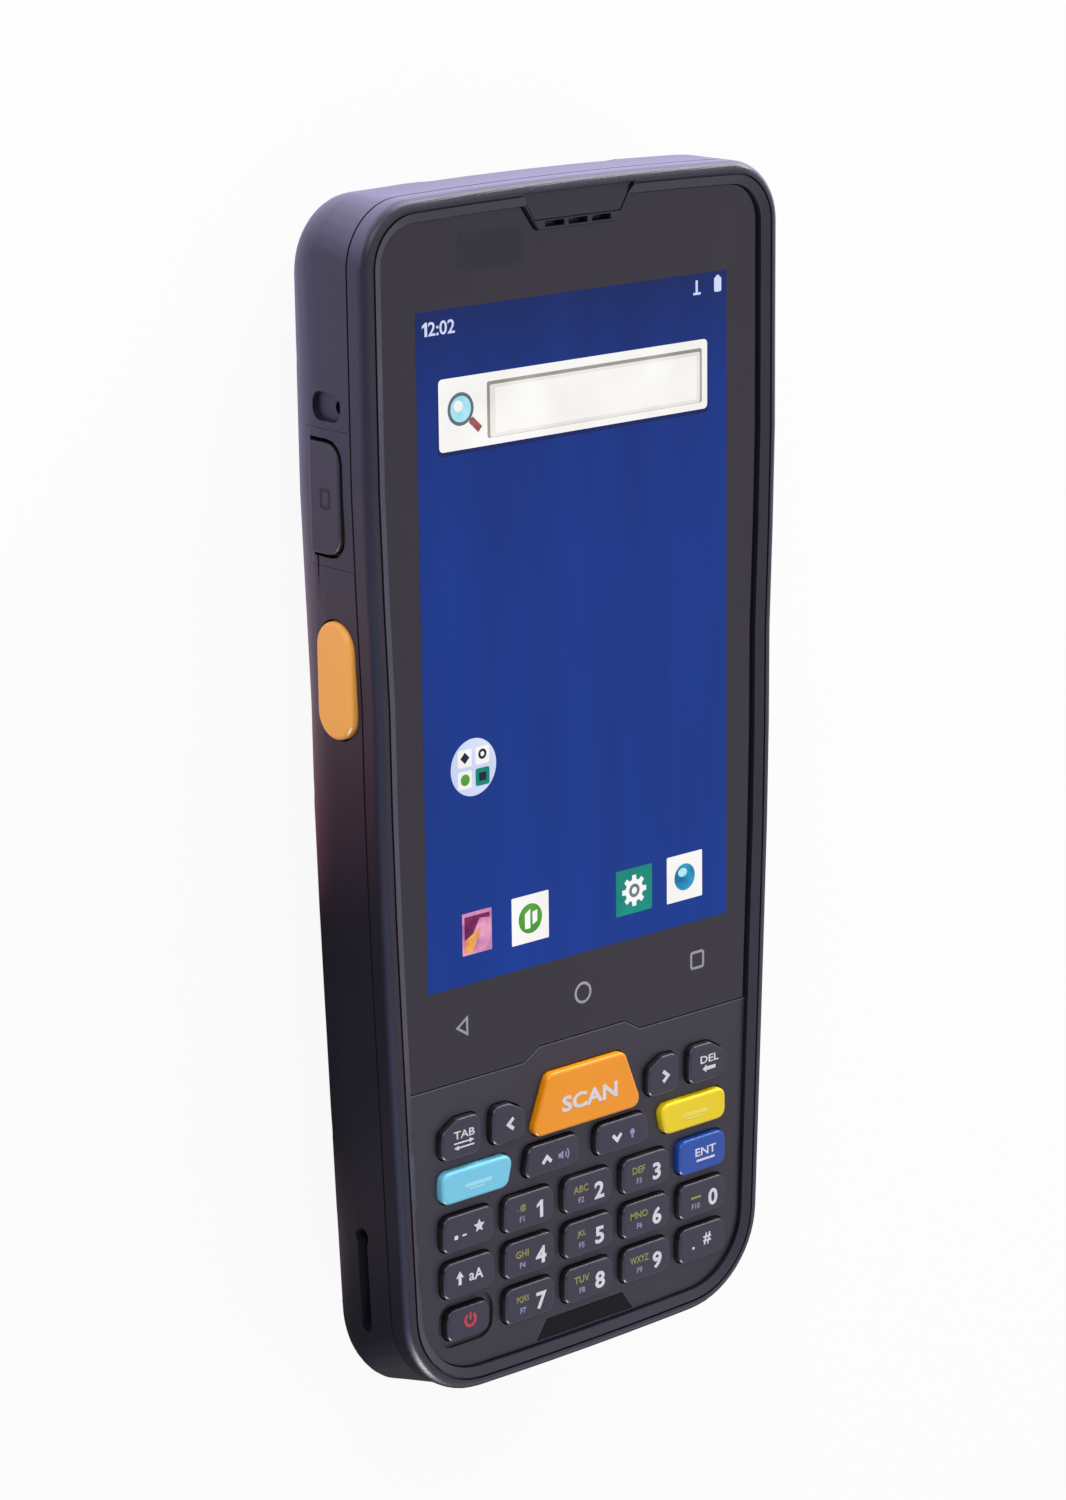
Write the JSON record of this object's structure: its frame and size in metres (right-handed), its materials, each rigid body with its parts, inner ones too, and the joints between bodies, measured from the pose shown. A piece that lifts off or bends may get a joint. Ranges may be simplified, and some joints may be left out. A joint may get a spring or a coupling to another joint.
{
  "type": "portable barcode data terminal",
  "caption": "Handheld data terminal with a touch display over a keypad, side triggers, a scan window in the head, a hinged port cover and a lift-off battery cover.",
  "frame": {"origin": "centre of the outline, on the flat of the back", "axes": "+X across to the right, +Y along the body towards the head, +Z out of the display; the terminal lies on its back"},
  "size_m": [0.07, 0.1572, 0.026],
  "materials": {
    "housing": "fine-textured moulded polycarbonate, dark violet-grey",
    "keypad_panel": "satin moulded plastic, grey",
    "touch_glass": "hardened glass over a dark printed border",
    "display": "lit display, blue",
    "keycap": "satin hard caps, near black",
    "scan_key": "satin, orange",
    "sky_key": "satin, light blue",
    "yellow_key": "satin, yellow",
    "enter_key": "satin, blue",
    "trigger": "satin, orange",
    "window": "tinted window, polished",
    "plate": "bare plate, gloss",
    "seal_rubber": "moulded silicone rubber",
    "frame_alloy": "die-cast, satin",
    "steel": "pressed and plated",
    "gold": "gold-plated",
    "board": "circuit board, green mask",
    "engine": "black moulding",
    "battery": "shrink-labelled pack"
  },
  "bodies": {
    "terminal": {"front_case": "housing", "rear_case": "housing", "case_gasket": "seal_rubber", "touch_glass": "touch_glass", "lcd_module": "display", "mid_frame": "frame_alloy", "keypad_panel": "keypad_panel", "keypad_mat": "seal_rubber", "keypad_board": "board", "key_domes": "steel", "main_board": "board", "shield_cans": "steel", "scan_engine": "engine", "scan_window": "window", "camera_module": "engine", "camera_window": "window", "front_sensor": "engine", "earpiece": "steel", "loudspeaker": "engine", "microphone": "gold", "vibration_motor": "steel", "side_switches": "engine", "usb_connector": "steel", "port_frame": "housing", "battery_contacts": "gold", "card_socket": "steel", "antenna": "gold", "case_screws": "steel", "badge_plate": "plate", "name_plate": "plate", "cradle_contacts": "gold"},
    "key_tab": {"key_tab": "keycap"},
    "key_left": {"key_left": "keycap"},
    "key_scan": {"key_scan": "scan_key"},
    "key_right": {"key_right": "keycap"},
    "key_delete": {"key_delete": "keycap"},
    "key_blue": {"key_blue": "sky_key"},
    "key_up": {"key_up": "keycap"},
    "key_down": {"key_down": "keycap"},
    "key_yellow": {"key_yellow": "yellow_key"},
    "key_star": {"key_star": "keycap"},
    "key_1": {"key_1": "keycap"},
    "key_2": {"key_2": "keycap"},
    "key_3": {"key_3": "keycap"},
    "key_enter": {"key_enter": "enter_key"},
    "key_shift": {"key_shift": "keycap"},
    "key_4": {"key_4": "keycap"},
    "key_5": {"key_5": "keycap"},
    "key_6": {"key_6": "keycap"},
    "key_0": {"key_0": "keycap"},
    "key_power": {"key_power": "keycap"},
    "key_7": {"key_7": "keycap"},
    "key_8": {"key_8": "keycap"},
    "key_9": {"key_9": "keycap"},
    "key_hash": {"key_hash": "keycap"},
    "left_trigger": {"left_trigger": "trigger"},
    "right_trigger": {"right_trigger": "trigger"},
    "port_cover": {"port_cover": "seal_rubber"},
    "battery_cover": {"battery_cover": "housing"},
    "battery_pack": {"battery_pack": "battery"}
  },
  "joints": [
    {"name": "key_tab_press", "type": "slide", "parent": "terminal", "child": "key_tab", "axis": [0, 0, -1], "range_m": [0, 0.0006], "stiffness_N_per_m": 300},
    {"name": "key_left_press", "type": "slide", "parent": "terminal", "child": "key_left", "axis": [0, 0, -1], "range_m": [0, 0.0006], "stiffness_N_per_m": 300},
    {"name": "key_scan_press", "type": "slide", "parent": "terminal", "child": "key_scan", "axis": [0, 0, -1], "range_m": [0, 0.0006], "stiffness_N_per_m": 300},
    {"name": "key_right_press", "type": "slide", "parent": "terminal", "child": "key_right", "axis": [0, 0, -1], "range_m": [0, 0.0006], "stiffness_N_per_m": 300},
    {"name": "key_delete_press", "type": "slide", "parent": "terminal", "child": "key_delete", "axis": [0, 0, -1], "range_m": [0, 0.0006], "stiffness_N_per_m": 300},
    {"name": "key_blue_press", "type": "slide", "parent": "terminal", "child": "key_blue", "axis": [0, 0, -1], "range_m": [0, 0.0006], "stiffness_N_per_m": 300},
    {"name": "key_up_press", "type": "slide", "parent": "terminal", "child": "key_up", "axis": [0, 0, -1], "range_m": [0, 0.0006], "stiffness_N_per_m": 300},
    {"name": "key_down_press", "type": "slide", "parent": "terminal", "child": "key_down", "axis": [0, 0, -1], "range_m": [0, 0.0006], "stiffness_N_per_m": 300},
    {"name": "key_yellow_press", "type": "slide", "parent": "terminal", "child": "key_yellow", "axis": [0, 0, -1], "range_m": [0, 0.0006], "stiffness_N_per_m": 300},
    {"name": "key_star_press", "type": "slide", "parent": "terminal", "child": "key_star", "axis": [0, 0, -1], "range_m": [0, 0.0006], "stiffness_N_per_m": 300},
    {"name": "key_1_press", "type": "slide", "parent": "terminal", "child": "key_1", "axis": [0, 0, -1], "range_m": [0, 0.0006], "stiffness_N_per_m": 300},
    {"name": "key_2_press", "type": "slide", "parent": "terminal", "child": "key_2", "axis": [0, 0, -1], "range_m": [0, 0.0006], "stiffness_N_per_m": 300},
    {"name": "key_3_press", "type": "slide", "parent": "terminal", "child": "key_3", "axis": [0, 0, -1], "range_m": [0, 0.0006], "stiffness_N_per_m": 300},
    {"name": "key_enter_press", "type": "slide", "parent": "terminal", "child": "key_enter", "axis": [0, 0, -1], "range_m": [0, 0.0006], "stiffness_N_per_m": 300},
    {"name": "key_shift_press", "type": "slide", "parent": "terminal", "child": "key_shift", "axis": [0, 0, -1], "range_m": [0, 0.0006], "stiffness_N_per_m": 300},
    {"name": "key_4_press", "type": "slide", "parent": "terminal", "child": "key_4", "axis": [0, 0, -1], "range_m": [0, 0.0006], "stiffness_N_per_m": 300},
    {"name": "key_5_press", "type": "slide", "parent": "terminal", "child": "key_5", "axis": [0, 0, -1], "range_m": [0, 0.0006], "stiffness_N_per_m": 300},
    {"name": "key_6_press", "type": "slide", "parent": "terminal", "child": "key_6", "axis": [0, 0, -1], "range_m": [0, 0.0006], "stiffness_N_per_m": 300},
    {"name": "key_0_press", "type": "slide", "parent": "terminal", "child": "key_0", "axis": [0, 0, -1], "range_m": [0, 0.0006], "stiffness_N_per_m": 300},
    {"name": "key_power_press", "type": "slide", "parent": "terminal", "child": "key_power", "axis": [0, 0, -1], "range_m": [0, 0.0006], "stiffness_N_per_m": 300},
    {"name": "key_7_press", "type": "slide", "parent": "terminal", "child": "key_7", "axis": [0, 0, -1], "range_m": [0, 0.0006], "stiffness_N_per_m": 300},
    {"name": "key_8_press", "type": "slide", "parent": "terminal", "child": "key_8", "axis": [0, 0, -1], "range_m": [0, 0.0006], "stiffness_N_per_m": 300},
    {"name": "key_9_press", "type": "slide", "parent": "terminal", "child": "key_9", "axis": [0, 0, -1], "range_m": [0, 0.0006], "stiffness_N_per_m": 300},
    {"name": "key_hash_press", "type": "slide", "parent": "terminal", "child": "key_hash", "axis": [0, 0, -1], "range_m": [0, 0.0006], "stiffness_N_per_m": 300},
    {"name": "left_trigger_press", "type": "slide", "parent": "terminal", "child": "left_trigger", "axis": [1, 0, 0], "range_m": [0, 0.0006], "stiffness_N_per_m": 500},
    {"name": "right_trigger_press", "type": "slide", "parent": "terminal", "child": "right_trigger", "axis": [-1, 0, 0], "range_m": [0, 0.0006], "stiffness_N_per_m": 500},
    {"name": "port_cover_hinge", "type": "hinge", "parent": "terminal", "child": "port_cover", "pos_m": [-0.03438, 0.0414, 0.0154], "axis": [0, -1, 0], "range_deg": [0, 100]},
    {"name": "battery_cover_lift", "type": "slide", "parent": "terminal", "child": "battery_cover", "axis": [0, 0, -1], "range_m": [0, 0.024]},
    {"name": "battery_lift", "type": "slide", "parent": "terminal", "child": "battery_pack", "axis": [0, 0, -1], "range_m": [0, 0.012]}
  ],
  "couplings": [
    {"joint": "battery_lift", "follows": "battery_cover_lift", "ratio": 0.5}
  ]
}
